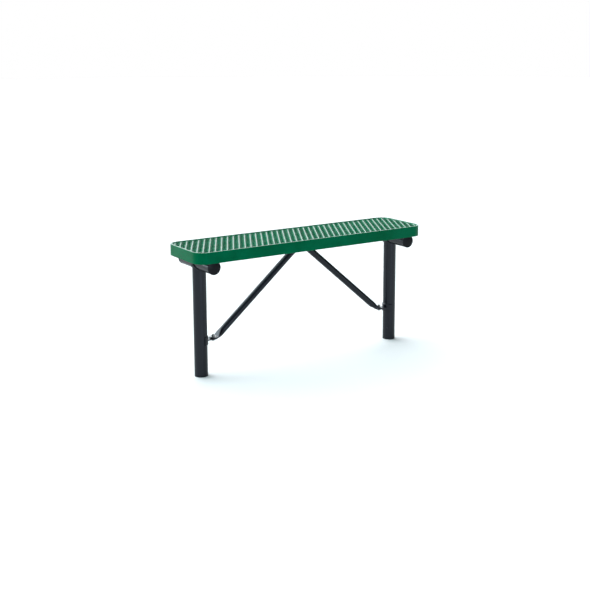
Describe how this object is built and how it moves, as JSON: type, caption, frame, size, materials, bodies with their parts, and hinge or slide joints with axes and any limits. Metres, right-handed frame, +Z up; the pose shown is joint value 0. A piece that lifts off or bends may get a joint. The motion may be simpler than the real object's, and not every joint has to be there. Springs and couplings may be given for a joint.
{
  "type": "backless bench",
  "caption": "Backless outdoor bench: a plastic-coated expanded-metal seat with a deep rim on round in-ground legs, with cross tubes and angled braces.",
  "frame": {"origin": "midway between the two legs, on the level of their lower ends", "axes": "+X along the seat, +Y across it to the back, +Z up"},
  "size_m": [1.2192, 0.3048, 0.586],
  "materials": {
    "green_coat": "thick semi-gloss dark green thermoplastic coat over steel",
    "black_powder_coat": "semi-gloss black powder coat over steel tube",
    "black_plastic": "moulded black polyethylene with a fine grain",
    "zinc_plate": "bright zinc-plated steel fasteners"
  },
  "bodies": {
    "root": {"seat_rim": "green_coat", "seat_mesh": "green_coat", "seat_angle_left": "green_coat", "seat_angle_center": "green_coat", "seat_angle_right": "green_coat", "seat_angle_welds": "green_coat", "cross_tube_left": "black_powder_coat", "cross_tube_right": "black_powder_coat", "cap_left_front": "black_plastic", "cap_left_back": "black_plastic", "cap_right_front": "black_plastic", "cap_right_back": "black_plastic", "leg_left": "black_powder_coat", "leg_right": "black_powder_coat", "leg_weld_left": "black_powder_coat", "leg_weld_right": "black_powder_coat", "brace_lug_left": "black_powder_coat", "brace_lug_right": "black_powder_coat", "lug_welds_left": "black_powder_coat", "lug_welds_right": "black_powder_coat", "brace_left": "black_powder_coat", "brace_right": "black_powder_coat", "foot_bolts": "zinc_plate", "foot_washers": "zinc_plate", "foot_nuts": "zinc_plate", "top_bolt": "zinc_plate", "top_washers": "zinc_plate", "top_nut": "zinc_plate", "seat_bolts": "zinc_plate", "seat_bolt_washers": "zinc_plate", "seat_bolt_nuts": "zinc_plate"}
  },
  "joints": []
}
